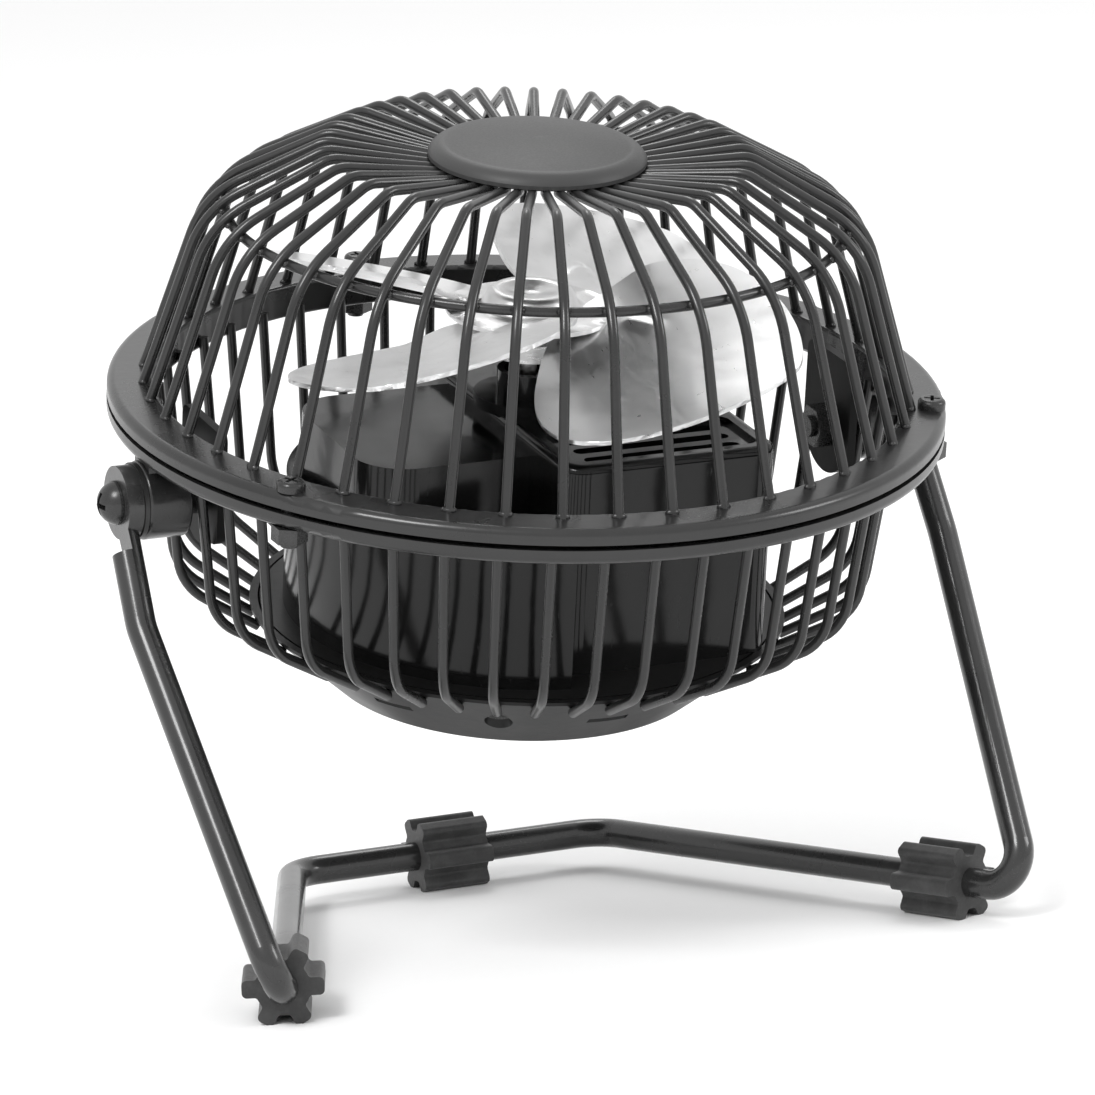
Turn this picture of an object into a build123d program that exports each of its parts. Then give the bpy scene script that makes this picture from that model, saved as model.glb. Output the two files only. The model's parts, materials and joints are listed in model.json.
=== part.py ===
"""Small wire-guard desk fan: a tilting head with a shaded-pole motor, on a stand bent from one rod."""

import os
from math import cos, radians, sin, tan

from build123d import *

os.makedirs("parts", exist_ok=True)

# ---- driving dimensions, millimetres and degrees ----
sheet = 1.2  # pressed steel of the rims
wire = 1.8  # guard wire diameter
weld = 0.15  # how far a welded wire sinks into what it meets
running = 0.06  # radial clearance of a turning fit
face_gap = 0.05  # axial clearance between turning faces
loose = 0.1  # clearance of a screw in its hole

head_tilt = 76.9  # how far the fan faces upwards at rest
pivot_height = 86.3
pivot_setback = 11.1  # pivot axis behind the parting plane of the two rims

rim_radius = 75.0
rim_width = 8.3
rim_inner_radius = rim_radius - rim_width
rim_height = 3.2
lip_gap = 0.45  # from the parting plane to the edge of a rim's outer lip

guard_wire_count = 45
front_wire_phase = -109.0
front_foot_radius = rim_inner_radius + 2.05
shoulder_radius, shoulder_height, shoulder_bend = rim_inner_radius - 8.1, 35.3, 17.0
ridge_radius, ridge_height, ridge_bend = 37.5, 46.5, 5.0
front_tip_radius, front_tip_height = 16.5, 43.9
hoop_turn = 8.0  # hoop's weld, degrees round the shoulder's bend from its middle towards the ridge

rear_wire_phase = -110.0
rear_foot_height = -0.6
bowl_radius, bowl_height, bowl_bend = rim_inner_radius - 4.6, -32.7, 10.5
dish_radius, dish_height, dish_lip = 48.5, -38.8, 0.6
dish_floor_radius, dish_floor_height = 34.0, -52.0
dish_wall = 1.5
dish_tip_setback = 1.6  # rear wires' welds, measured down the dish's cone

badge_radius, badge_skirt, badge_edge = 19.4, 0.4, 0.3
badge_bevel_width, badge_bevel_rise, badge_dome = 2.9, 1.9, 1.4
centre_plate_radius, centre_plate_thickness = 18.0, 1.0

rod = 5.4  # stand rod diameter
eye_half_span = rim_radius + 2.6
knee_half_span, knee_forward, knee_drop, knee_bend = eye_half_span + 0.8, 10.6, 20.6, 15.0
front_half_span, front_forward, front_bend = eye_half_span - 5.8, 51.2, 5.5
rear_half_span, rear_back, rear_bend = 31.4, 45.4, 8.0
rod_height = 6.4  # rod centre line above the floor
eye_radius, eye_thickness, eye_neck = 6.5, 2.9, 8.6

foot_radius, foot_root_radius, foot_length = 7.1, 4.8, 13.0
foot_lobes, foot_lobe_width, foot_lobe_corner, foot_valley_corner = 6, 3.1, 0.9, 0.7
foot_squeeze = 0.05  # rubber sleeve gripping the rod
left_foot_setback, right_foot_setback = 16.0, 20.0

bolt_radius, bolt_head_radius, bolt_head_edge, bolt_head_height = 2.0, 3.9, 0.5, 3.4
washer_radius, washer_thickness = 6.8, 0.8
boss_radius, boss_inner_span = 7.0, rim_inner_radius - 0.7
spigot_radius = 3.4
bracket_half_width, bracket_thickness, bracket_outer_span = 9.0, 1.6, rim_inner_radius - 4.3
bracket_low, bracket_high = -18.0, 3.0
nut_across, nut_thickness = 7.0, 3.2

rim_screw_circle, rim_screw_phase, rim_screw_count = rim_radius - 2.7, -147.6, 3
rim_screw_radius, rim_screw_head_radius, rim_screw_head_height = 1.5, 2.5, 1.8
rim_nut_across, rim_nut_thickness = 5.5, 2.8

blade_count, blade_phase = 4, -51.0
blade_tip_radius, blade_thickness = 54.0, 0.8
blade_height = 17.0  # blade wheel's middle plane above the parting plane
blade_pitch_root, blade_pitch_tip = 24.0, 15.6
blade_root_radius, blade_root_half = 10.0, 7.4
blade_shoulder_x, blade_shoulder_y = 20.0, 18.6
blade_flank_x, blade_flank_y = 37.0, 26.8
rib_near, rib_far, rib_width, rib_rise = 17.5, 25.0, 2.6, 0.4
hub_plate_radius, hub_crown_radius, hub_crown_height = 14.6, 8.2, 3.6
hub_recess_radius, hub_recess = 4.6, 0.35
collar_radius, collar_top_radius, collar_low = 8.0, 6.4, 9.4

shaft_radius, shaft_low = 1.6, -35.5
rotor_radius, rotor_low, rotor_high = 11.0, -26.0, -12.0
air_gap = 0.4
stator_left, stator_half_depth = -18.0, 17.0
pole_wall = 1.4  # iron left between the rotor bore and the coil window
window_width, window_half = 5.4, 10.0
leg_width = 7.4
bobbin_wall, bobbin_clearance, coil_thickness = 0.9, 0.15, 4.0
bearing_radius, bearing_length = 3.2, 5.0
bracket_strip, bracket_arch, holder_radius = 12.0, 6.0, 6.0
motor_screw_offset, motor_screw_radius = 15.0, 1.5
motor_screw_head_radius, motor_screw_head_height = 2.6, 1.7

plate_radius, plate_thickness = 46.6, 1.2
housing_left, housing_right, housing_half_depth, housing_top = -8.0, 33.5, 36.0, 0.0
housing_wall, housing_corner = 2.0, 4.5
lobe_left, lobe_half_depth, lobe_top, lobe_corner = -38.0, 20.0, -3.0, 9.0
boss_plinth_radius, boss_plinth_height = 9.5, 1.6
boss_tube_radius, boss_tube_bore, boss_tube_height = 5.5, 4.2, 6.0
vent_length, vent_width, vent_count, vent_pitch = 30.0, 2.6, 3, 4.6
vent_lip, vent_recess = 3.0, 0.9
shroud_radius, shroud_wall, shroud_top = 42.5, 1.8, -14.5

dish_screw_circle, dish_screw_phase, dish_screw_count = 41.5, -118.0, 3
dish_screw_radius, dish_screw_head_radius, dish_screw_seat = 1.4, 2.4, -42.4
dish_post_radius, dish_slit_offset, dish_slit_length, dish_slit_width = 3.8, 27.0, 7.5, 1.4

switch_offset, switch_length, switch_width, switch_depth = 14.0, 13.0, 8.0, 8.0
switch_bezel, switch_bezel_height = 1.2, 0.9
rocker_length, rocker_width, rocker_throw = 10.4, 5.6, 8.0
gland_offset, gland_radius, gland_flange_radius, gland_bore = -18.0, 3.6, 5.2, 2.4

# ---- shared planes and points ----
head_direction = Vector(0, -cos(radians(head_tilt)), sin(radians(head_tilt)))
head_centre = Vector(0, 0, pivot_height) + Vector(0, 0, 1) * pivot_setback * head_direction.Z
pivot_centre = head_centre - head_direction * pivot_setback
head = Plane(origin=head_centre, x_dir=(1, 0, 0), z_dir=head_direction)
head_axis = Axis(head_centre, head_direction)
section = Plane(origin=head_centre, x_dir=(1, 0, 0), z_dir=-head.y_dir)  # radius across, height up


def level(height, x=0.0, y=0.0):
    """Plane across the head axis at a height above the rims' parting plane, moved aside by x and y."""
    return Plane(origin=head.from_local_coords(Vector(x, y, height)), x_dir=(1, 0, 0), z_dir=head_direction)


def pivot_plane(side, span):
    """Plane across the pivot axis at a half-span, facing outwards on that side of the head."""
    return Plane(
        origin=(side * span, pivot_centre.Y, pivot_centre.Z),
        x_dir=head.y_dir,
        z_dir=(side, 0, 0),
    )


def export(builder, name):
    """Label a finished sub-part and write it under its own name."""
    builder.part.label = name
    export_step(builder.part, f"parts/{name}.step")


def dome_height(rise, base, radius):
    """Height at a radius of a round dome with this rise and base radius."""
    ball = (base * base + rise * rise) / (2 * rise)
    return (ball * ball - radius * radius) ** 0.5 - ball + rise


# ---- stand ----
knee_z = pivot_centre.Z - knee_drop


def stand_points(side):
    """Corners of the rod's centre line on one side, from the eye down to the rear corner."""
    return [
        Vector(side * eye_half_span, pivot_centre.Y, pivot_centre.Z),
        Vector(side * knee_half_span, pivot_centre.Y - knee_forward, knee_z),
        Vector(side * front_half_span, pivot_centre.Y - front_forward, rod_height),
        Vector(side * rear_half_span, pivot_centre.Y + rear_back, rod_height),
    ]


left_points = stand_points(-1)
right_points = stand_points(1)
eye_inner = eye_half_span - rod / 2
eye_outer = eye_inner + eye_thickness
arm_up = (left_points[0] - left_points[1]).normalized()

with BuildPart() as stand_frame:
    with BuildLine() as rod_line:
        FilletPolyline(
            *left_points,
            *reversed(right_points),
            radius=[knee_bend, front_bend, rear_bend, rear_bend, front_bend, knee_bend],
        )
    with BuildSketch(Plane(origin=rod_line.line @ 0, z_dir=rod_line.line % 0)):
        Circle(rod / 2)
    sweep()
    for side in (-1, 1):
        arm = Vector(0, arm_up.Y, arm_up.Z).normalized()
        eye = Plane(origin=(side * eye_inner, pivot_centre.Y, pivot_centre.Z), x_dir=arm, z_dir=(side, 0, 0))
        with BuildSketch(eye):
            Circle(eye_radius)
        extrude(amount=eye_thickness)
        with BuildSketch(eye.offset(eye_thickness)):
            with Locations(((eye_radius - eye_neck) / 2, 0)):
                Rectangle(eye_radius + eye_neck + 2, eye_radius * 3)
        extrude(amount=rod, mode=Mode.SUBTRACT)
        with BuildSketch(eye.offset(-rod)):
            with Locations(((eye_radius - eye_neck) / 2, 0)):
                Rectangle(eye_radius + eye_neck + 2, eye_radius * 3)
        extrude(amount=rod, mode=Mode.SUBTRACT)
        with BuildSketch(eye):
            Circle(bolt_radius + running)
        extrude(amount=eye_thickness, mode=Mode.SUBTRACT)
export(stand_frame, "stand_frame")


def foot(name, centre, along):
    """Lobed rubber sleeve on the rod, worn flat where it stands on the floor."""
    plane = Plane(origin=centre - along * foot_length / 2, x_dir=(0, 0, -1), z_dir=along)
    with BuildPart() as sleeve:
        with BuildSketch(plane) as outline:
            Circle(foot_root_radius)
            with PolarLocations(foot_radius / 2, foot_lobes, 180 / foot_lobes):
                RectangleRounded(foot_radius, foot_lobe_width, foot_lobe_corner)
            valleys = outline.vertices().sort_by(lambda corner: Vector(corner).length)[: 2 * foot_lobes]
            fillet(valleys, radius=foot_valley_corner)
            Circle(rod / 2 - foot_squeeze, mode=Mode.SUBTRACT)
        extrude(amount=foot_length)
        with Locations((centre.X, centre.Y, 0)):
            Box(60, 60, foot_radius, align=(Align.CENTER, Align.CENTER, Align.MAX), mode=Mode.SUBTRACT)
    export(sleeve, name)


left_bar = (left_points[3] - left_points[2]).normalized()
right_bar = (right_points[3] - right_points[2]).normalized()
foot("foot_left", left_points[2] + left_bar * left_foot_setback, left_bar)
foot("foot_right", right_points[2] + right_bar * right_foot_setback, right_bar)
foot("foot_rear", Vector(0, pivot_centre.Y + rear_back, rod_height), Vector(1, 0, 0))

# ---- pivots ----
washer_outer = eye_inner - face_gap
boss_outer = washer_outer - washer_thickness
bracket_inner = bracket_outer_span - bracket_thickness
bolt_seat = eye_outer + face_gap
bolt_tip = bracket_inner - nut_thickness - 0.8
bolt_dome_middle = dome_height(bolt_head_height - bolt_head_edge, bolt_head_radius, bolt_head_radius / 2)

for side, word in ((-1, "left"), (1, "right")):
    with BuildPart() as pivot_bolt:
        with BuildSketch(pivot_plane(side, bolt_tip)):
            Circle(bolt_radius)
        extrude(amount=bolt_seat - bolt_tip)
        with BuildSketch(Plane(origin=pivot_plane(side, bolt_seat).origin, x_dir=(side, 0, 0), z_dir=head.y_dir)):
            with BuildLine():
                Line((0, 0), (0, bolt_head_radius))
                Line((0, bolt_head_radius), (bolt_head_edge, bolt_head_radius))
                ThreePointArc(
                    (bolt_head_edge, bolt_head_radius),
                    (bolt_head_edge + bolt_dome_middle, bolt_head_radius / 2),
                    (bolt_head_height, 0),
                )
                Line((bolt_head_height, 0), (0, 0))
            make_face()
        revolve(axis=Axis(pivot_centre, (1, 0, 0)))
        with BuildSketch(pivot_plane(side, bolt_seat + bolt_head_height)):
            Rectangle(4.2, 0.9)
            Rectangle(0.9, 4.2)
        extrude(amount=-1.8, mode=Mode.SUBTRACT)
    export(pivot_bolt, f"pivot_bolt_{word}")

    with BuildPart() as friction_washer:
        with BuildSketch(pivot_plane(side, boss_outer)):
            Circle(washer_radius)
            Circle(bolt_radius + loose, mode=Mode.SUBTRACT)
        extrude(amount=washer_thickness)
    export(friction_washer, f"friction_washer_{word}")

    with BuildPart() as pivot_boss:
        with BuildSketch(pivot_plane(side, boss_inner_span)):
            Circle(boss_radius)
        extrude(amount=boss_outer - boss_inner_span)
        fillet(pivot_boss.edges().filter_by(GeomType.CIRCLE), radius=0.6)
        with BuildSketch(pivot_plane(side, bracket_outer_span)):
            Circle(spigot_radius)
        extrude(amount=boss_inner_span - bracket_outer_span + 1)
        with BuildSketch(level(-rim_height + weld, side * (boss_outer + boss_inner_span) / 2, 0)):
            Rectangle(boss_outer - boss_inner_span - 1.6, boss_radius)
        extrude(amount=-(pivot_setback - rim_height + weld - boss_radius / 2))
        with BuildSketch(pivot_plane(side, bracket_outer_span)):
            Circle(bolt_radius + loose)
        extrude(amount=boss_outer - bracket_outer_span, mode=Mode.SUBTRACT)
    export(pivot_boss, f"pivot_boss_{word}")

    with BuildPart() as pivot_bracket:
        with BuildSketch(pivot_plane(side, bracket_inner)):
            with Locations((0, 0)):
                Circle(bracket_half_width)
            with Locations((0, side * ((bracket_high + bracket_low) / 2 + pivot_setback))):
                RectangleRounded(bracket_half_width * 2, bracket_high - bracket_low, 2.0)
            Circle(bolt_radius + loose, mode=Mode.SUBTRACT)
        extrude(amount=bracket_thickness)
    export(pivot_bracket, f"pivot_bracket_{word}")

    with BuildPart() as pivot_nut:
        with BuildSketch(pivot_plane(side, bracket_inner)):
            RegularPolygon(nut_across / 2, 6, major_radius=False)
            Circle(bolt_radius, mode=Mode.SUBTRACT)
        extrude(amount=-nut_thickness)
    export(pivot_nut, f"pivot_nut_{word}")

# ---- rims ----
rim_hole = rim_screw_radius + loose


def rim(name, up):
    """Pressed ring with an inner wall and a rolled outer lip; up is 1 in front of the parting plane."""
    with BuildPart() as ring:
        with BuildSketch(section) as profile:
            with BuildLine():
                Polyline(
                    (rim_inner_radius, 0),
                    (rim_inner_radius, up * rim_height),
                    (rim_radius, up * rim_height),
                    (rim_radius, up * lip_gap),
                    (rim_radius - sheet, up * lip_gap),
                    (rim_radius - sheet, up * (rim_height - sheet)),
                    (rim_inner_radius + sheet, up * (rim_height - sheet)),
                    (rim_inner_radius + sheet, 0),
                    close=True,
                )
            make_face()
            fillet(profile.vertices().sort_by(Axis.Y)[::up][-2:].sort_by(Axis.X)[-1], radius=1.5)
            fillet(profile.vertices().sort_by(Axis.Y)[::up][-2:].sort_by(Axis.X)[0], radius=0.7)
        revolve(axis=head_axis)
        with BuildSketch(level(up * rim_height)):
            with PolarLocations(rim_screw_circle, rim_screw_count, rim_screw_phase):
                Circle(rim_hole)
        extrude(amount=-up * rim_height, mode=Mode.SUBTRACT)
    export(ring, name)


rim("front_rim", 1)
rim("rear_rim", -1)

with BuildPart() as rim_screws:
    with BuildSketch(level(-rim_height - rim_nut_thickness - 1.0)):
        with PolarLocations(rim_screw_circle, rim_screw_count, rim_screw_phase):
            Circle(rim_screw_radius)
    extrude(amount=2 * rim_height + rim_nut_thickness + 1.0)
    with BuildSketch(level(rim_height)):
        with PolarLocations(rim_screw_circle, rim_screw_count, rim_screw_phase):
            Circle(rim_screw_head_radius)
    extrude(amount=rim_screw_head_height)
    crowns = rim_screws.edges().group_by(Axis(head_centre, head_direction))[-1]
    fillet(crowns, radius=0.9)
    with BuildSketch(level(rim_height + rim_screw_head_height)):
        with PolarLocations(rim_screw_circle, rim_screw_count, rim_screw_phase):
            Rectangle(2.8, 0.6)
            Rectangle(0.6, 2.8)
    extrude(amount=-1.1, mode=Mode.SUBTRACT)
export(rim_screws, "rim_screws")

with BuildPart() as rim_nuts:
    with BuildSketch(level(-rim_height)):
        with PolarLocations(rim_screw_circle, rim_screw_count, rim_screw_phase):
            RegularPolygon(rim_nut_across / 2, 6, major_radius=False)
            Circle(rim_screw_radius, mode=Mode.SUBTRACT)
    extrude(amount=-rim_nut_thickness)
export(rim_nuts, "rim_nuts")

# ---- front guard ----
shoulder = Vector(shoulder_radius, shoulder_height)
wall = (shoulder - Vector(front_foot_radius, rim_height)).normalized()
slope = (Vector(ridge_radius, ridge_height) - shoulder).normalized()
inwards = (slope - wall).normalized()
bend_middle = shoulder + inwards * shoulder_bend / cos(radians(wall.get_angle(slope) / 2))
hoop_point = bend_middle - inwards.rotate(Axis.Z, hoop_turn) * (shoulder_bend - wire + weld)


def radial_wire(points, bends):
    """One wire bent in the plane y = 0, with x the radius and z the height."""
    with BuildPart() as bent:
        with BuildLine() as line:
            FilletPolyline(*[(x, 0, z) for x, z in points], radius=bends)
        with BuildSketch(Plane(origin=line.line @ 0, z_dir=line.line % 0)):
            Circle(wire / 2)
        sweep()
    return bent.part


front_wire = radial_wire(
    [
        (front_foot_radius, rim_height - 0.4),
        (shoulder_radius, shoulder_height),
        (ridge_radius, ridge_height),
        (front_tip_radius, front_tip_height),
    ],
    [shoulder_bend, ridge_bend],
)
with BuildPart(head) as front_wires:
    with PolarLocations(0, guard_wire_count, front_wire_phase):
        add(front_wire, clean=False)
export(front_wires, "front_guard_wires")

with BuildPart() as front_hoop:
    with BuildSketch(section):
        with Locations((hoop_point.X, hoop_point.Y)):
            Circle(wire / 2)
    revolve(axis=head_axis)
export(front_hoop, "front_guard_hoop")

tip_top = front_tip_height + wire / 2
with BuildPart() as centre_plate:
    with BuildSketch(level(tip_top - weld)):
        Circle(centre_plate_radius)
        Circle(rim_screw_radius + loose, mode=Mode.SUBTRACT)
    extrude(amount=centre_plate_thickness)
export(centre_plate, "centre_plate")

badge_floor = tip_top - weld + centre_plate_thickness
face_radius = badge_radius - badge_bevel_width
dome_foot = badge_floor + badge_edge + badge_bevel_rise
with BuildPart() as badge:
    with BuildSketch(section):
        with BuildLine():
            Polyline(
                (0, dome_foot + badge_dome),
                (0, badge_floor),
                (centre_plate_radius + loose, badge_floor),
                (centre_plate_radius + loose, badge_floor - badge_skirt),
                (badge_radius, badge_floor - badge_skirt),
                (badge_radius, badge_floor + badge_edge),
            )
            ThreePointArc(
                (badge_radius, badge_floor + badge_edge),
                (badge_radius - badge_bevel_width * 0.35, badge_floor + badge_edge + badge_bevel_rise * 0.66),
                (face_radius, dome_foot),
            )
            ThreePointArc(
                (face_radius, dome_foot),
                (face_radius / 2, dome_foot + dome_height(badge_dome, face_radius, face_radius / 2)),
                (0, dome_foot + badge_dome),
            )
        make_face()
    revolve(axis=head_axis)
    with BuildSketch(level(badge_floor)):
        Circle(rim_screw_radius)
    extrude(amount=2.4, mode=Mode.SUBTRACT)
export(badge, "badge")

with BuildPart() as badge_screw:
    with BuildSketch(level(tip_top - weld - 1.6)):
        Circle(3.0)
    extrude(amount=1.6)
    with BuildSketch(level(tip_top - weld)):
        Circle(rim_screw_radius)
    extrude(amount=centre_plate_thickness + 2.2)
export(badge_screw, "badge_screw")

# ---- rear guard and dish ----
cone_edge = Vector(dish_radius, dish_height - dish_lip)
cone = (Vector(dish_floor_radius, dish_floor_height) - cone_edge).normalized()
cone_out = Vector(-cone.Y, cone.X)
rear_tip = cone_edge + cone * dish_tip_setback + cone_out * (wire / 2 - weld)
rear_wire = radial_wire(
    [
        (rim_inner_radius - wire / 2 + weld, rear_foot_height),
        (bowl_radius, bowl_height),
        (rear_tip.X, rear_tip.Y),
    ],
    [bowl_bend],
)
pivot_room = spigot_radius + wire / 2 + loose  # a wire nearer than this to a pivot is left out
rear_angles = [rear_wire_phase + 360 / guard_wire_count * turn for turn in range(guard_wire_count)]
rear_angles = [angle for angle in rear_angles if abs(sin(radians(angle))) * rim_inner_radius > pivot_room]
with BuildPart(head) as rear_wires:
    with Locations(*[Location((0, 0, 0), (0, 0, angle)) for angle in rear_angles]):
        add(rear_wire, clean=False)
export(rear_wires, "rear_guard_wires")

plate_low = dish_height - plate_thickness


def dish_profile(inset):
    """Half section of the dish's cone and floor, moved inwards by a wall thickness."""
    with BuildSketch(section) as outline:
        with BuildLine():
            Polyline(
                (0, dish_height + (1 if inset else 0)),
                (dish_radius - inset, dish_height + (1 if inset else 0)),
                (dish_radius - inset, dish_height - dish_lip - inset * 0.3),
                (dish_floor_radius - inset * 0.3, dish_floor_height + inset),
                (0, dish_floor_height + inset),
                close=True,
            )
        make_face()
    return outline.sketch


with BuildPart() as rear_dish:
    revolve(dish_profile(0), axis=head_axis)
    revolve(dish_profile(dish_wall), axis=head_axis, mode=Mode.SUBTRACT)
    with BuildSketch(level(plate_low)):
        with PolarLocations(dish_screw_circle, dish_screw_count, dish_screw_phase):
            Circle(dish_post_radius)
    extrude(amount=dish_floor_height - plate_low)
    revolve(dish_profile(0), axis=head_axis, mode=Mode.INTERSECT)
    with BuildSketch(level(plate_low)):
        Circle(plate_radius + loose)
    extrude(amount=plate_thickness + 1, mode=Mode.SUBTRACT)
    with BuildSketch(level(dish_screw_seat)):
        with PolarLocations(dish_screw_circle, dish_screw_count, dish_screw_phase):
            Circle(dish_screw_head_radius + loose)
    extrude(amount=dish_floor_height - dish_screw_seat, mode=Mode.SUBTRACT)
    with BuildSketch(level(plate_low)):
        with PolarLocations(dish_screw_circle, dish_screw_count, dish_screw_phase):
            Circle(dish_screw_radius + loose)
    extrude(amount=dish_screw_seat - plate_low, mode=Mode.SUBTRACT)
    with BuildSketch(level(dish_floor_height)):
        for offset in (-dish_slit_offset, dish_slit_offset):
            with PolarLocations(dish_screw_circle, dish_screw_count, dish_screw_phase + offset):
                Rectangle(dish_slit_width, dish_slit_length)
        with Locations((0, switch_offset)):
            Rectangle(switch_length + loose, switch_width + loose)
        with Locations((0, gland_offset)):
            Circle(gland_radius + face_gap)
    extrude(amount=plate_low - dish_floor_height - 1, mode=Mode.SUBTRACT)
export(rear_dish, "rear_dish")

with BuildPart() as dish_screws:
    with BuildSketch(level(dish_screw_seat)):
        with PolarLocations(dish_screw_circle, dish_screw_count, dish_screw_phase):
            Circle(dish_screw_head_radius)
    extrude(amount=-1.6)
    with BuildSketch(level(dish_screw_seat)):
        with PolarLocations(dish_screw_circle, dish_screw_count, dish_screw_phase):
            Circle(dish_screw_radius)
    extrude(amount=dish_height - loose - dish_screw_seat)
    with BuildSketch(level(dish_screw_seat - 1.6)):
        with PolarLocations(dish_screw_circle, dish_screw_count, dish_screw_phase):
            Rectangle(2.6, 0.6)
            Rectangle(0.6, 2.6)
    extrude(amount=1.0, mode=Mode.SUBTRACT)
export(dish_screws, "dish_screws")

with BuildPart() as motor_plate:
    with BuildSketch(level(plate_low)):
        Circle(plate_radius)
        with PolarLocations(dish_screw_circle, dish_screw_count, dish_screw_phase):
            Circle(dish_screw_radius, mode=Mode.SUBTRACT)
        with GridLocations(0, 2 * motor_screw_offset, 1, 2):
            Circle(motor_screw_radius + loose, mode=Mode.SUBTRACT)
    extrude(amount=plate_thickness)
export(motor_plate, "motor_plate")

# ---- housing round the motor ----
housing_width = housing_right - housing_left
housing_middle = (housing_right + housing_left) / 2
lobe_right = housing_left + lobe_corner
lobe_middle = (lobe_left + lobe_right) / 2


def housing_block(inset, mode):
    """Box and round lobe of the housing, drawn in by a wall thickness."""
    with BuildSketch(level(dish_height)) as box:
        with Locations((housing_middle, 0)):
            RectangleRounded(
                housing_width - 2 * inset,
                2 * (housing_half_depth - inset),
                housing_corner - inset,
            )
    extrude(box.sketch, amount=housing_top - inset - dish_height, mode=mode)
    with BuildSketch(level(dish_height)) as lobe:
        with Locations((lobe_middle, 0)):
            RectangleRounded(
                lobe_right - lobe_left - 2 * inset,
                2 * (lobe_half_depth - inset),
                lobe_corner - inset,
            )
    extrude(lobe.sketch, amount=lobe_top - inset - dish_height, mode=mode)


with BuildPart() as motor_housing:
    housing_block(0, Mode.ADD)
    tops = motor_housing.faces().filter_by(Axis(head_centre, head_direction))
    fillet(tops.group_by(Axis(head_centre, head_direction))[-1].edges(), radius=1.6)
    with BuildSketch(level(housing_top - 0.5)):
        Circle(boss_plinth_radius)
    extrude(amount=boss_plinth_height + 0.5)
    with BuildSketch(level(housing_top)):
        Circle(boss_tube_radius)
    extrude(amount=boss_tube_height)
    housing_block(housing_wall, Mode.SUBTRACT)
    with BuildSketch(level(boss_tube_height)):
        Circle(boss_tube_bore)
    extrude(amount=-(boss_tube_height + housing_wall - housing_top), mode=Mode.SUBTRACT)
    vent_middle = vent_lip + vent_pitch / 2 * (vent_count + 0.2) - housing_half_depth
    with BuildSketch(level(housing_top)):
        with Locations((housing_middle, vent_middle)):
            RectangleRounded(housing_width - 2 * vent_lip, vent_pitch * (vent_count + 0.2), 2.0)
    extrude(amount=-vent_recess, mode=Mode.SUBTRACT)
    with BuildSketch(level(housing_top)):
        with Locations((housing_middle, vent_middle)):
            with GridLocations(0, vent_pitch, 1, vent_count):
                SlotOverall(vent_length, vent_width)
    extrude(amount=-housing_wall - 1, mode=Mode.SUBTRACT)
export(motor_housing, "motor_housing")

with BuildPart() as housing_shroud:
    with BuildSketch(level(dish_height)):
        Circle(shroud_radius)
        Circle(shroud_radius - shroud_wall, mode=Mode.SUBTRACT)
        with Locations((housing_left - loose, 0)):
            Rectangle(200, 200, align=(Align.MIN, Align.CENTER), mode=Mode.SUBTRACT)
    extrude(amount=shroud_top - dish_height)
    with BuildSketch(level(dish_height)):
        Circle(shroud_radius)
        with Locations((housing_left - loose, 0)):
            Rectangle(200, 200, align=(Align.MIN, Align.CENTER), mode=Mode.SUBTRACT)
        with Locations((lobe_middle, 0)):
            Rectangle(
                lobe_right - lobe_left + 2 * loose,
                2 * (lobe_half_depth + loose),
                mode=Mode.SUBTRACT,
            )
    extrude(amount=1.5)
export(housing_shroud, "housing_shroud")

# ---- motor ----
stack = rotor_high - rotor_low
stator_bore = rotor_radius + air_gap
window_left = stator_bore + pole_wall
leg_left = window_left + window_width
stator_right = leg_left + leg_width
coil_inset = bobbin_clearance + bobbin_wall

with BuildPart() as stator_core:
    with BuildSketch(level(rotor_low)):
        with Locations(((stator_left + stator_right) / 2, 0)):
            Rectangle(stator_right - stator_left, 2 * stator_half_depth)
        Circle(stator_bore, mode=Mode.SUBTRACT)
        with Locations((window_left + window_width / 2, 0)):
            Rectangle(window_width, 2 * window_half, mode=Mode.SUBTRACT)
        with GridLocations(0, 2 * motor_screw_offset, 1, 2):
            Circle(motor_screw_radius + loose, mode=Mode.SUBTRACT)
        for turn in (135, 315):
            with PolarLocations(stator_bore + 1.8, 2, turn - 9, angular_range=36):
                Circle(0.75, mode=Mode.SUBTRACT)
    extrude(amount=stack)
export(stator_core, "stator_core")

with BuildPart() as shading_rings:
    for turn in (135, 315):
        with BuildSketch(level(rotor_low - 1.4)):
            with PolarLocations(stator_bore + 1.8, 2, turn - 9, angular_range=36):
                Circle(0.7)
        extrude(amount=stack + 2.8)
        for height in (rotor_low - 1.4, rotor_high):
            with BuildSketch(level(height)):
                with PolarLocations(stator_bore + 1.8, 1, turn):
                    Rectangle(1.4, 5.2)
            extrude(amount=1.4)
export(shading_rings, "shading_rings")


def leg_block(grow_x, grow_w, half_length, mode):
    """Rectangular block round the stator's coil leg, grown from the iron."""
    with BuildSketch(level(rotor_low - grow_w)) as block:
        with Locations(((leg_left + stator_right) / 2, 0)):
            Rectangle(leg_width + 2 * grow_x, 2 * half_length)
    extrude(block.sketch, amount=stack + 2 * grow_w, mode=mode)


bobbin_half = window_half - 0.3
with BuildPart() as coil_bobbin:
    leg_block(coil_inset + coil_thickness - 0.2, coil_inset + coil_thickness, bobbin_half, Mode.ADD)
    leg_block(30, 30, bobbin_half - bobbin_wall, Mode.SUBTRACT)
    leg_block(coil_inset, coil_inset, bobbin_half, Mode.ADD)
    leg_block(bobbin_clearance, bobbin_clearance, bobbin_half, Mode.SUBTRACT)
export(coil_bobbin, "coil_bobbin")

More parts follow.
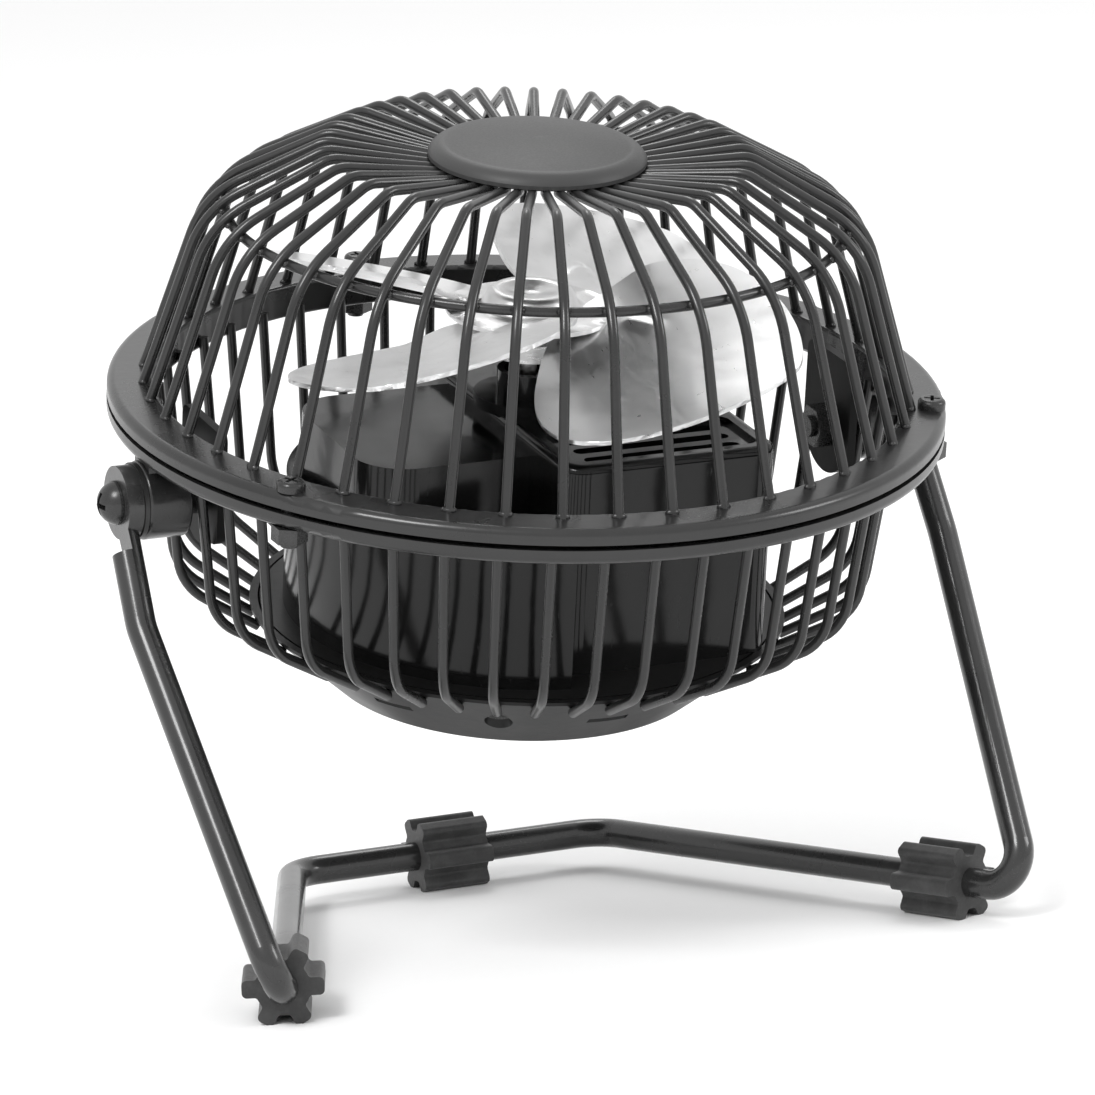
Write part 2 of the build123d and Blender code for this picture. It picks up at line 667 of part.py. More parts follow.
with BuildPart() as coil:
    leg_block(coil_inset + coil_thickness - 0.5, coil_inset + coil_thickness - 0.5, bobbin_half - bobbin_wall, Mode.ADD)
    fillet(coil.edges().filter_by(Axis(head_centre, head.y_dir)), radius=2.0)
    leg_block(coil_inset, coil_inset, bobbin_half, Mode.SUBTRACT)
export(coil, "coil")

with BuildPart() as thermal_fuse:
    fuse_height = rotor_high + coil_inset + coil_thickness - 0.5 + 1.5
    with BuildSketch(Plane(origin=level(fuse_height, leg_left + 3, -4).origin, x_dir=(1, 0, 0), z_dir=head.y_dir)):
        Circle(1.5)
    extrude(amount=8)
export(thermal_fuse, "thermal_fuse")


def bearing_bracket(name, base, up):
    """Bridge over one end of the stator, with a leg on each side and a bearing holder in the middle."""
    with BuildPart() as bridge:
        with BuildSketch(level(base)):
            with GridLocations(0, 2 * motor_screw_offset, 1, 2):
                Rectangle(bracket_strip, 2 * (stator_half_depth - motor_screw_offset) + 1.2)
        extrude(amount=up * bracket_arch)
        with BuildSketch(level(base + up * bracket_arch)):
            RectangleRounded(bracket_strip, 2 * stator_half_depth + 1.2, 2.0)
        extrude(amount=up * 2.0)
        with BuildSketch(level(base + up * (bracket_arch + 2.0 - bearing_length))):
            Circle(holder_radius)
        extrude(amount=up * bearing_length)
        with BuildSketch(level(base)):
            Circle(bearing_radius)
            with GridLocations(0, 2 * motor_screw_offset, 1, 2):
                Circle(motor_screw_radius + loose)
        extrude(amount=up * 20, mode=Mode.SUBTRACT)
    export(bridge, name)


def ring(name, low, high, outer, inner):
    """Plain ring on the head axis."""
    with BuildPart() as band:
        with BuildSketch(level(low)):
            Circle(outer)
            Circle(inner, mode=Mode.SUBTRACT)
        extrude(amount=high - low)
    export(band, name)


front_bearing_high = rotor_high + bracket_arch + 2.0
rear_bearing_low = rotor_low - bracket_arch - 2.0
bearing_bracket("front_bearing_bracket", rotor_high, 1)
bearing_bracket("rear_bearing_bracket", rotor_low, -1)
ring("front_bearing", front_bearing_high - bearing_length, front_bearing_high, bearing_radius, shaft_radius + running)
ring("rear_bearing", rear_bearing_low, rear_bearing_low + bearing_length, bearing_radius, shaft_radius + running)
ring("rotor_core", rotor_low, rotor_high, rotor_radius, shaft_radius)
ring("front_thrust_washer", rotor_high, rotor_high + 0.5, 3.0, shaft_radius)
ring("rear_thrust_washer", rotor_low - 0.5, rotor_low, 3.0, shaft_radius)

with BuildPart() as shaft:
    with BuildSketch(level(shaft_low)):
        Circle(shaft_radius)
    extrude(amount=blade_height + blade_thickness / 2 + 1.6 - shaft_low)
    fillet(shaft.edges().filter_by(GeomType.CIRCLE), radius=0.3)
export(shaft, "shaft")

with BuildPart() as motor_screws:
    with BuildSketch(level(plate_low - 3.2)):
        with GridLocations(0, 2 * motor_screw_offset, 1, 2):
            Circle(motor_screw_radius)
    extrude(amount=front_bearing_high - plate_low + 3.2)
    with BuildSketch(level(front_bearing_high)):
        with GridLocations(0, 2 * motor_screw_offset, 1, 2):
            Circle(motor_screw_head_radius)
    extrude(amount=motor_screw_head_height)
    with BuildSketch(level(front_bearing_high + motor_screw_head_height)):
        with GridLocations(0, 2 * motor_screw_offset, 1, 2):
            Rectangle(3.4, 0.7)
    extrude(amount=-0.8, mode=Mode.SUBTRACT)
export(motor_screws, "motor_screws")

with BuildPart() as motor_spacers:
    with BuildSketch(level(dish_height)):
        with GridLocations(0, 2 * motor_screw_offset, 1, 2):
            Circle(3.0)
            Circle(motor_screw_radius + loose, mode=Mode.SUBTRACT)
    extrude(amount=rear_bearing_low - dish_height)
export(motor_spacers, "motor_spacers")

with BuildPart() as motor_nuts:
    with BuildSketch(level(plate_low)):
        with GridLocations(0, 2 * motor_screw_offset, 1, 2):
            RegularPolygon(rim_nut_across / 2, 6, major_radius=False)
            Circle(motor_screw_radius, mode=Mode.SUBTRACT)
    extrude(amount=-2.4)
export(motor_nuts, "motor_nuts")


# ---- blade wheel ----
def blade_rise(x, y):
    """Height of the twisted blade sheet above the wheel's middle plane."""
    radius = (x * x + y * y) ** 0.5
    share = (radius - blade_root_radius) / (blade_tip_radius - blade_root_radius)
    pitch = blade_pitch_root + (blade_pitch_tip - blade_pitch_root) * share
    return y * tan(radians(pitch))


grid_x = [4 + 6.5 * step for step in range(9)]
grid_y = [-33 + 6.6 * step for step in range(11)]
blade_sheet = Face.make_surface_from_array_of_points(
    [[Vector(x, y, blade_rise(x, y) - blade_thickness / 2) for y in grid_y] for x in grid_x]
)
with BuildPart() as blade_rib:
    thicken(blade_sheet, amount=blade_thickness + rib_rise, normal_override=(0, 0, 1))
    with BuildSketch(Plane.XY.offset(-40)):
        with Locations(((rib_near + rib_far) / 2, 0)):
            SlotOverall(rib_far - rib_near, rib_width)
    extrude(amount=80, mode=Mode.INTERSECT)

with BuildPart() as blade:
    thicken(blade_sheet, amount=blade_thickness, normal_override=(0, 0, 1))
    with BuildSketch(Plane.XY.offset(-40)):
        with BuildLine():
            Spline(
                (blade_root_radius, -blade_root_half),
                (blade_shoulder_x, -blade_shoulder_y),
                (blade_flank_x, -blade_flank_y),
                (blade_tip_radius, 0),
                (blade_flank_x, blade_flank_y),
                (blade_shoulder_x, blade_shoulder_y),
                (blade_root_radius, blade_root_half),
                tangents=[(1, -0.8), (-1, -0.8)],
            )
            Line((blade_root_radius, blade_root_half), (blade_root_radius, -blade_root_half))
        make_face()
    extrude(amount=80, mode=Mode.INTERSECT)
    add(blade_rib.part)

crown_low = blade_height - blade_thickness / 2
with BuildPart(level(blade_height)) as blade_wheel:
    with PolarLocations(0, blade_count, blade_phase):
        add(blade.part, clean=False)
    with BuildSketch(level(blade_height - blade_thickness / 2)):
        Circle(hub_plate_radius)
    extrude(amount=blade_thickness)
    with BuildSketch(section):
        with BuildLine():
            Polyline(
                (0, crown_low + hub_crown_height - blade_thickness),
                (hub_crown_radius - 1.2, crown_low + hub_crown_height - blade_thickness),
                (hub_crown_radius, crown_low),
                (hub_crown_radius + 1.2, crown_low),
                (hub_crown_radius + 0.2, crown_low + blade_thickness),
                (hub_crown_radius - 0.8, crown_low + hub_crown_height),
                (hub_recess_radius + hub_recess, crown_low + hub_crown_height),
                (hub_recess_radius, crown_low + hub_crown_height - hub_recess),
                (0, crown_low + hub_crown_height - hub_recess),
                close=True,
            )
        make_face()
    revolve(axis=head_axis)
    with BuildSketch(level(crown_low - hub_plate_radius)):
        Circle(hub_crown_radius - 1.2)
    extrude(amount=hub_plate_radius + hub_crown_height - blade_thickness, mode=Mode.SUBTRACT)
export(blade_wheel, "blade_wheel")

with BuildPart() as hub_collar:
    with BuildSketch(section):
        with BuildLine():
            Polyline(
                (shaft_radius, collar_low),
                (collar_radius, collar_low),
                (collar_radius, collar_low + 3.2),
                (collar_top_radius, blade_height - blade_thickness / 2),
                (shaft_radius, blade_height - blade_thickness / 2),
                close=True,
            )
        make_face()
    revolve(axis=head_axis)
    with BuildSketch(Plane(origin=level(collar_low + 1.8).origin, x_dir=head_direction, z_dir=(1, 0, 0))):
        Circle(1.2)
    extrude(amount=20, mode=Mode.SUBTRACT)
export(hub_collar, "hub_collar")

with BuildPart() as set_screw:
    with BuildSketch(Plane(origin=level(collar_low + 1.8, shaft_radius).origin, x_dir=head_direction, z_dir=(1, 0, 0))):
        Circle(1.2)
    extrude(amount=collar_radius - shaft_radius - 0.8)
export(set_screw, "set_screw")

# ---- switch and cord gland ----
with BuildPart() as switch_body:
    with BuildSketch(level(dish_floor_height, 0, switch_offset)):
        Rectangle(switch_length, switch_width)
    extrude(amount=switch_depth)
    with BuildSketch(level(dish_floor_height, 0, switch_offset)):
        RectangleRounded(switch_length + 2 * switch_bezel, switch_width + 2 * switch_bezel, 1.0)
    extrude(amount=-switch_bezel_height)
    with BuildSketch(level(dish_floor_height - switch_bezel_height, 0, switch_offset)):
        Rectangle(rocker_length + 0.6, rocker_width + 0.6)
    extrude(amount=4.6, mode=Mode.SUBTRACT)
export(switch_body, "switch_body")

rocker_axis_height = dish_floor_height + 0.2
rocker_turn = radians(rocker_throw)
with BuildPart() as switch_rocker:
    side_plane = Plane(
        origin=level(rocker_axis_height, 0, switch_offset - rocker_width / 2).origin,
        x_dir=Vector(cos(rocker_turn), 0, 0) + head_direction * sin(rocker_turn),
        z_dir=head.y_dir,
    )
    with BuildSketch(side_plane):
        with BuildLine():
            Line((-rocker_length / 2 + 0.3, -1.4), (rocker_length / 2 - 0.3, -1.4))
            Line((rocker_length / 2 - 0.3, -1.4), (rocker_length / 2 - 0.1, 2.0))
            ThreePointArc((rocker_length / 2 - 0.1, 2.0), (0, 1.3), (-rocker_length / 2 + 0.1, 2.0))
            Line((-rocker_length / 2 + 0.1, 2.0), (-rocker_length / 2 + 0.3, -1.4))
        make_face()
    extrude(amount=rocker_width)
export(switch_rocker, "switch_rocker")

with BuildPart() as cord_gland:
    with BuildSketch(level(dish_floor_height, 0, gland_offset)):
        Circle(gland_flange_radius)
    extrude(amount=-1.4)
    with BuildSketch(level(dish_floor_height, 0, gland_offset)):
        Circle(gland_radius)
    extrude(amount=4.0)
    with BuildSketch(level(dish_floor_height - 1.4, 0, gland_offset)):
        Circle(gland_bore)
    extrude(amount=8.0, mode=Mode.SUBTRACT)
export(cord_gland, "cord_gland")
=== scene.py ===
import json
from math import cos, pi, radians, sin

import bmesh
import bpy
from mathutils import Matrix, Vector


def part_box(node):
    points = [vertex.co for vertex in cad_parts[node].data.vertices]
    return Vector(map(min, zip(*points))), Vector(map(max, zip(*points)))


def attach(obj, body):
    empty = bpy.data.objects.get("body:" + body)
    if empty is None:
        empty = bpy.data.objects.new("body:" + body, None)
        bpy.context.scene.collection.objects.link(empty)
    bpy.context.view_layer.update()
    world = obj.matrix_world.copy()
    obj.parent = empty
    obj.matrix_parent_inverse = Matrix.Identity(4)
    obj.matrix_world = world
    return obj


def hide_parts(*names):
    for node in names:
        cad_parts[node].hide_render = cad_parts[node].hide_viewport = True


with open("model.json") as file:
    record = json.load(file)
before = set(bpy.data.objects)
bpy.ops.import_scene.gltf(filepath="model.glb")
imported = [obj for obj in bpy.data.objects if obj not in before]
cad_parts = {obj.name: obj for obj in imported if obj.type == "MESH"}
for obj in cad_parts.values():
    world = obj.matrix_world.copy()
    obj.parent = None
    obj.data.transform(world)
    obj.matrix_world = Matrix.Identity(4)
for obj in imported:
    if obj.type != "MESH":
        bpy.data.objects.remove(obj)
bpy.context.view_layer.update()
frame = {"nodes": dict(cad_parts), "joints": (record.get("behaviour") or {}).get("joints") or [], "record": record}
nodes = frame["nodes"]
joints = {joint["name"]: joint for joint in frame["joints"]}
mm = 0.001
print("frame loaded:", len(nodes), "CAD nodes")


# directions of the head, taken from the frame
pivot = Vector(joints["head_tilt"]["pos_m"])
headUp = Vector(joints["blade_spin"]["axis"]).normalized()
headSide = Vector((1, 0, 0))
headBack = headUp.cross(headSide)


def nodeMiddle(name):
    low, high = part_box(name)
    return (Vector(low) + Vector(high)) / 2


headCentre = (nodeMiddle("front_rim") + nodeMiddle("rear_rim")) / 2


def atHead(radius, turn, height):
    return headCentre + headSide * radius * cos(turn) + headBack * radius * sin(turn) + headUp * height


# shader helpers
class Wire:
    # one output socket, so that shader maths reads as maths

    def __init__(self, shop, socket):
        self.shop = shop
        self.socket = socket

    def join(self, operation, first, second):
        return self.shop.node("ShaderNodeMath", {"operation": operation}, {0: first, 1: second})

    def __add__(self, other):
        return self.join("ADD", self, other)

    def __radd__(self, other):
        return self.join("ADD", other, self)

    def __sub__(self, other):
        return self.join("SUBTRACT", self, other)

    def __rsub__(self, other):
        return self.join("SUBTRACT", other, self)

    def __mul__(self, other):
        return self.join("MULTIPLY", self, other)

    def __rmul__(self, other):
        return self.join("MULTIPLY", other, self)


class Shop:
    # makes the nodes of one material

    def __init__(self, name):
        self.material = bpy.data.materials.new(name)
        self.material.use_nodes = True
        self.tree = self.material.node_tree
        self.tree.nodes.clear()

    def node(self, kind, settings=None, inputs=None, output=0):
        made = self.tree.nodes.new(kind)
        for key, value in (settings or {}).items():
            setattr(made, key, value)
        for key, value in (inputs or {}).items():
            if isinstance(value, Wire):
                self.tree.links.new(value.socket, made.inputs[key])
            else:
                made.inputs[key].default_value = value
        return Wire(self, made.outputs[output]) if len(made.outputs) else None

    def place(self):
        return self.node("ShaderNodeTexCoord", output="Object")

    def cloud(self, size, detail=3, roughness=0.55, stretch=(1, 1, 1), seed=0.0):
        # soft noise whose lumps are about size metres across
        spots = self.node(
            "ShaderNodeMapping",
            {"vector_type": "POINT"},
            {"Vector": self.place(), "Scale": stretch, "Location": (seed, seed * 2, seed * 3)},
        )
        return self.node(
            "ShaderNodeTexNoise",
            {"noise_dimensions": "3D"},
            {"Vector": spots, "Scale": 1 / size, "Detail": detail, "Roughness": roughness},
        )

    def axisDistance(self, origin, axis):
        # distance of the surface from a line, for turned and brushed parts
        ends = {0: self.place(), 1: tuple(origin)}
        away = self.node("ShaderNodeVectorMath", {"operation": "SUBTRACT"}, ends)
        across = self.node("ShaderNodeVectorMath", {"operation": "CROSS_PRODUCT"}, {0: away, 1: tuple(axis)})
        return self.node("ShaderNodeVectorMath", {"operation": "LENGTH"}, {0: across}, output="Value")

    def rings(self, distance, pitch):
        # a wave that repeats at every pitch
        return self.node("ShaderNodeMath", {"operation": "SINE"}, {0: distance * (2 * pi / pitch)})

    def fade(self, value, low, high, start=0.0, end=1.0):
        return self.node(
            "ShaderNodeMapRange",
            {"clamp": True},
            {"Value": value, "From Min": low, "From Max": high, "To Min": start, "To Max": end},
        )

    def mix(self, factor, first, second):
        return self.node("ShaderNodeMix", {"data_type": "RGBA"}, {0: factor, 6: first, 7: second}, output=2)

    def bump(self, height, strength, depth, below=None):
        inputs = {"Height": height, "Strength": strength, "Distance": depth}
        if below is not None:
            inputs["Normal"] = below
        return self.node("ShaderNodeBump", {}, inputs)

    def finish(self, inputs):
        shader = self.node("ShaderNodeBsdfPrincipled", {}, inputs)
        self.node("ShaderNodeOutputMaterial", {}, {"Surface": shader})
        return self.material


def grey(value, warm=0.0):
    return (value * (1 + warm), value, value * (1 - warm), 1)


# powder coat: fine orange peel, softly uneven gloss, a little dust; sizes and depths in metres
paints = {
    "guardPaint": {"base": 0.015, "gloss": 0.28, "coat": 0.18, "shine": 0.42, "peel": 0.0010, "dust": 0.05},
    "standPaint": {"base": 0.018, "gloss": 0.26, "coat": 0.32, "shine": 0.45, "peel": 0.0013, "dust": 0.06},
    "dishPaint": {"base": 0.007, "gloss": 0.38, "coat": 0.0, "shine": 0.25, "peel": 0.0012, "dust": 0.04},
    # painted shade: the last coat is a darker, duller copy used on the pivots' brackets, which sit in shadow
    "bracketShadowCoat": {"base": 0.004, "gloss": 0.50, "coat": 0.0, "shine": 0.15, "peel": 0.0012, "dust": 0.03},
}
coating = {
    "flow": 0.018, "darker": 0.85, "lighter": 1.2, "smoother": 0.04, "rougher": 0.05, "coatGloss": 0.06,
    "lump": 0.004, "lumpBump": 0.10, "lumpDepth": 0.0004, "peelBump": 0.12, "peelDepth": 0.00010,
    "speck": 0.0006, "speckTone": 0.2, "speckRough": 0.06,
}


def powderCoat(name, look):
    shop = Shop(name)
    flow = shop.cloud(coating["flow"], 4, seed=1.3)
    peel = shop.cloud(look["peel"], 2, 0.6, seed=4.1)
    lump = shop.cloud(coating["lump"], 2, 0.5, seed=6.2)
    dust = shop.fade(shop.cloud(coating["speck"], 4, 0.7, seed=7.7), 0.62, 0.74)
    dark, light = grey(look["base"] * coating["darker"]), grey(look["base"] * coating["lighter"])
    tone = shop.mix(shop.fade(flow, 0.35, 0.7), dark, light)
    tone = shop.mix(dust * look["dust"], tone, grey(coating["speckTone"]))
    smooth, matt = look["gloss"] - coating["smoother"], look["gloss"] + coating["rougher"]
    rough = shop.fade(flow, 0.3, 0.7, smooth, matt) + dust * coating["speckRough"]
    skin = shop.bump(peel, coating["peelBump"], coating["peelDepth"])
    ripple = shop.bump(lump, coating["lumpBump"], coating["lumpDepth"], skin)
    return shop.finish({
        "Base Color": tone, "Roughness": rough, "Normal": ripple, "Specular IOR Level": look["shine"],
        "Coat Weight": look["coat"], "Coat Roughness": coating["coatGloss"],
    })


# glossy black moulding: slow sink marks, fine scuffs along the draw of the mould
def housingGloss():
    look = {
        "dark": 0.003, "light": 0.007, "gloss": 0.10, "uneven": 0.06, "shine": 0.30,
        "swirl": 0.03, "sink": 0.012, "sinkBump": 0.16, "sinkDepth": 0.0007,
        "scuff": 0.0012, "drawn": (1, 1, 0.15), "scuffRough": 0.16, "scuffShare": 0.12, "scuffTone": 0.08,
    }
    shop = Shop("housingGloss")
    swirl = shop.cloud(look["swirl"], 3, seed=2.2)
    sink = shop.cloud(look["sink"], 2, 0.4, seed=5.0)
    scuff = shop.fade(shop.cloud(look["scuff"], 4, 0.7, look["drawn"], 9.0), 0.62, 0.75)
    tone = shop.mix(shop.fade(swirl, 0.3, 0.7), grey(look["dark"]), grey(look["light"]))
    tone = shop.mix(scuff * look["scuffShare"], tone, grey(look["scuffTone"]))
    base = shop.fade(swirl, 0.3, 0.7, look["gloss"], look["gloss"] + look["uneven"])
    return shop.finish({
        "Base Color": tone, "Roughness": base + scuff * look["scuffRough"],
        "Normal": shop.bump(sink, look["sinkBump"], look["sinkDepth"]), "Specular IOR Level": look["shine"],
    })


# dull rubber with a pale bloom and rubbed spots
def footRubber():
    look = {
        "dark": 0.020, "bloomTone": 0.042, "bloom": 0.004, "smooth": 0.48, "matt": 0.68,
        "wear": 0.0015, "wearShare": 0.3, "wearTone": 0.07,
        "grain": 0.0005, "grainBump": 0.25, "grainDepth": 0.0001, "sheen": 0.15, "sheenRough": 0.5,
    }
    shop = Shop("footRubber")
    grain = shop.cloud(look["grain"], 5, 0.7, seed=3.0)
    bloom = shop.fade(shop.cloud(look["bloom"], 4, 0.65, seed=6.0), 0.42, 0.72)
    wear = shop.fade(shop.cloud(look["wear"], 4, 0.7, seed=9.5), 0.6, 0.75)
    tone = shop.mix(bloom, grey(look["dark"]), grey(look["bloomTone"]))
    tone = shop.mix(wear * look["wearShare"], tone, grey(look["wearTone"]))
    return shop.finish({
        "Base Color": tone, "Roughness": shop.fade(grain, 0.3, 0.7, look["smooth"], look["matt"]),
        "Normal": shop.bump(grain, look["grainBump"], look["grainDepth"]),
        "Sheen Weight": look["sheen"], "Sheen Roughness": look["sheenRough"],
    })


# satin moulding with fine rings turned about the head's axis, and a painted highlight: a lighter tone round the
# badge's rim
def badgePlastic():
    look = {
        "face": 0.030, "darker": 0.9, "lighter": 1.1, "gloss": 0.40, "uneven": 0.1, "shine": 0.30,
        # painted highlight: the edge tone is lighter than the face and is laid round the badge's rim, starting at
        # the first radius and full from the second
        "edge": 0.046, "paintedHighlightFrom": 0.0160, "paintedHighlightTo": 0.0170, "flow": 0.01,
        "ring": 0.0007, "ringBump": 0.05, "ringDepth": 0.00002,
        "grain": 0.0004, "grainBump": 0.08, "grainDepth": 0.00006,
    }
    shop = Shop("badgePlastic")
    grain = shop.cloud(look["grain"], 4, 0.7, seed=8.0)
    flow = shop.cloud(look["flow"], 3, seed=1.0)
    out = shop.axisDistance(headCentre, headUp)
    dark, light = grey(look["face"] * look["darker"]), grey(look["face"] * look["lighter"])
    tone = shop.mix(shop.fade(flow, 0.3, 0.7), dark, light)
    # painted highlight: the badge turns lighter from 16 mm out from the head's axis, full from 17 mm to the rim
    tone = shop.mix(shop.fade(out, look["paintedHighlightFrom"], look["paintedHighlightTo"]), tone, grey(look["edge"]))
    rough = shop.fade(grain, 0.3, 0.7, look["gloss"], look["gloss"] + look["uneven"])
    turned = shop.bump(shop.rings(out, look["ring"]), look["ringBump"], look["ringDepth"])
    return shop.finish({
        "Base Color": tone, "Roughness": rough, "Specular IOR Level": look["shine"],
        "Normal": shop.bump(grain, look["grainBump"], look["grainDepth"], turned),
    })


# bright rolled sheet: fine rolling lines, cloudy oxide, faint dents and rubbed marks near the hub
def bladeMetal():
    look = {
        "bright": 0.88, "dull": 0.78, "cloudy": 0.016, "smooth": 0.27, "matt": 0.36,
        "stain": 0.005, "stainTone": 0.55, "stainWarm": 0.01, "stainShare": 0.2, "stainRough": 0.08,
        "rubFrom": 0.0125, "rubTo": 0.0175, "rubMost": 0.7,
        "rubTone": 0.36, "rubWarm": 0.02, "rubShare": 0.35,
        "roll": 0.0009, "rolled": (1, 0.03, 0.3), "rollBump": 0.06, "rollDepth": 0.00004,
        "scratch": 0.0016, "scratched": (0.08, 1.6, 1), "scratchGloss": 0.05, "scratchBump": 0.06,
        "scratchDepth": 0.00003, "dent": 0.011, "dentBump": 0.35, "dentDepth": 0.0008,
    }
    shop = Shop("bladeMetal")
    roll = shop.cloud(look["roll"], 4, 0.65, look["rolled"], 2.0)
    cloudy = shop.cloud(look["cloudy"], 3, 0.5, seed=5.5)
    stain = shop.fade(shop.cloud(look["stain"], 5, 0.7, seed=3.3), 0.55, 0.78)
    dent = shop.cloud(look["dent"], 2, 0.4, seed=8.8)
    scratch = shop.fade(shop.cloud(look["scratch"], 3, 0.6, look["scratched"], 12.0), 0.66, 0.74)
    out = shop.axisDistance(headCentre, headUp)
    nearHub = shop.fade(out, look["rubFrom"], look["rubTo"], look["rubMost"], 0.0)
    rubbed = nearHub * shop.fade(cloudy, 0.4, 0.6)
    tone = shop.mix(shop.fade(cloudy, 0.3, 0.7), grey(look["dull"]), grey(look["bright"]))
    tone = shop.mix(stain * look["stainShare"], tone, grey(look["stainTone"], look["stainWarm"]))
    tone = shop.mix(rubbed * look["rubShare"], tone, grey(look["rubTone"], look["rubWarm"]))
    rough = shop.fade(roll, 0.3, 0.7, look["smooth"], look["matt"]) + stain * look["stainRough"]
    lines = shop.bump(scratch, look["scratchBump"], look["scratchDepth"])
    lines = shop.bump(roll, look["rollBump"], look["rollDepth"], lines)
    return shop.finish({
        "Base Color": tone, "Metallic": 1.0, "Roughness": rough - scratch * look["scratchGloss"],
        "Normal": shop.bump(dent, look["dentBump"], look["dentDepth"], lines),
    })


# turned metal: close rings about the head's axis
def turnedMetal(name, base, gloss):
    look = {
        "darker": 0.82, "lighter": 1.12, "smoother": 0.06, "rougher": 0.08, "wear": 0.003,
        "groove": 0.00045, "grooveBump": 0.08, "grooveDepth": 0.00003,
        "grain": 0.0006, "pulled": (0.2, 0.2, 1), "grainBump": 0.15, "grainDepth": 0.00004,
    }
    shop = Shop(name)
    grooves = shop.rings(shop.axisDistance(headCentre, headUp), look["groove"])
    wear = shop.cloud(look["wear"], 4, 0.6, seed=4.0)
    grain = shop.cloud(look["grain"], 3, 0.6, look["pulled"], 1.5)
    tone = shop.mix(shop.fade(wear, 0.3, 0.7), grey(base * look["darker"]), grey(base * look["lighter"]))
    fine = shop.bump(grain, look["grainBump"], look["grainDepth"])
    return shop.finish({
        "Base Color": tone, "Metallic": 1.0,
        "Roughness": shop.fade(grain, 0.3, 0.7, gloss - look["smoother"], gloss + look["rougher"]),
        "Normal": shop.bump(grooves, look["grooveBump"], look["grooveDepth"], fine),
    })


# plain finishes of the small parts: grain, wear patches and an uneven gloss
def smallPart(name, base, gloss, warm=0.0, metallic=1.0):
    look = {
        "darker": 0.82, "lighter": 1.12, "smoother": 0.05, "rougher": 0.08, "wear": 0.004,
        "rub": 0.0012, "rubShare": 0.2, "rubLighter": 2.2, "rubLightest": 0.8,
        "grain": 0.0004, "grainBump": 0.1, "grainDepth": 0.00005,
    }
    shop = Shop(name)
    wear = shop.cloud(look["wear"], 4, 0.6, seed=4.0)
    grain = shop.cloud(look["grain"], 3, 0.6, seed=2.0)
    rub = shop.fade(shop.cloud(look["rub"], 3, 0.7, seed=11.0), 0.6, 0.72)
    dark, light = grey(base * look["darker"], warm), grey(base * look["lighter"], warm)
    bare = grey(min(base * look["rubLighter"], look["rubLightest"]), warm)
    tone = shop.mix(rub * look["rubShare"], shop.mix(shop.fade(wear, 0.3, 0.7), dark, light), bare)
    return shop.finish({
        "Base Color": tone, "Metallic": metallic,
        "Roughness": shop.fade(grain, 0.3, 0.7, gloss - look["smoother"], gloss + look["rougher"]),
        "Normal": shop.bump(grain, look["grainBump"], look["grainDepth"]),
    })


finishes = {
    "stand_paint": powderCoat("standPaint", paints["standPaint"]),
    "guard_paint": powderCoat("guardPaint", paints["guardPaint"]),
    "foot_rubber": footRubber(),
    "housing_plastic": housingGloss(),
    "dish_paint": powderCoat("dishPaint", paints["dishPaint"]),
    "badge_plastic": badgePlastic(),
    "blade_metal": bladeMetal(),
    "screw_black": smallPart("screwBlack", 0.045, 0.26, metallic=0.6),
    "plain_steel": smallPart("plainSteel", 0.45, 0.35),
    "zinc_steel": turnedMetal("zincSteel", 0.60, 0.28),
    "washer_nylon": smallPart("washerNylon", 0.014, 0.38, metallic=0.0),
    "bronze": smallPart("bronze", 0.42, 0.4, 0.3),
    "copper": smallPart("copper", 0.4, 0.35, 0.45),
    "bobbin_nylon": smallPart("bobbinNylon", 0.7, 0.45, 0.05, 0.0),
    "switch_plastic": smallPart("switchPlastic", 0.015, 0.34, metallic=0.0),
}
slots = {row["node"]: row["material_slot"] for row in frame["record"]["subparts"]}
for name, piece in nodes.items():
    for holder in piece.material_slots:
        holder.material = finishes[slots[name]]
bracketShadowMaterial = powderCoat("bracketShadowCoat", paints["bracketShadowCoat"])  # painted shade: a darker, duller copy of the powder coat for the pivots' brackets, which sit in shadow
for name in ("pivot_bracket_left", "pivot_bracket_right"):
    for holder in nodes[name].material_slots:
        holder.material = bracketShadowMaterial
print("materials assigned:", len(finishes))

# welds where the hoop and the front rim meet the guard's wires: small uneven beads under the paint
welds = {
    "count": 45, "phase": -109.0, "reach": 1.35 * mm, "height": 0.80 * mm, "detail": 2,
    "uneven": 0.08, "wobble": (37, 53, 900), "hoopOut": 0.75 * mm, "hoopUp": 0.25 * mm,
    "rimRadius": 68.72 * mm, "rimHeight": 3.3 * mm,
}


def weldBead(mesh, centre, along, outward):
    side = along.cross(outward).normalized()
    made = bmesh.ops.create_icosphere(mesh, subdivisions=welds["detail"], radius=1.0)["verts"]
    aside, ahead, place = welds["wobble"]
    for vertex in made:
        uneven = 1 + welds["uneven"] * sin(aside * vertex.co.x + ahead * vertex.co.y + centre.x * place)
        spot = vertex.co * uneven
        foot = centre + along * spot.x * welds["reach"]
        vertex.co = foot + side * spot.y * welds["height"] + outward * spot.z * welds["height"]


def weldRow(name, radius, height):
    mesh = bmesh.new()
    for step in range(welds["count"]):
        turn = radians(welds["phase"] + 360 / welds["count"] * step)
        centre = atHead(radius, turn, height)
        outward = (headSide * cos(turn) + headBack * sin(turn)).normalized()
        around = headUp.cross(outward).normalized()
        weldBead(mesh, centre, around, outward)
    data = bpy.data.meshes.new(name)
    mesh.to_mesh(data)
    mesh.free()
    for face in data.polygons:
        face.use_smooth = True
    piece = bpy.data.objects.new(name, data)
    bpy.context.scene.collection.objects.link(piece)
    data.materials.append(finishes["guard_paint"])
    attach(piece, "head")


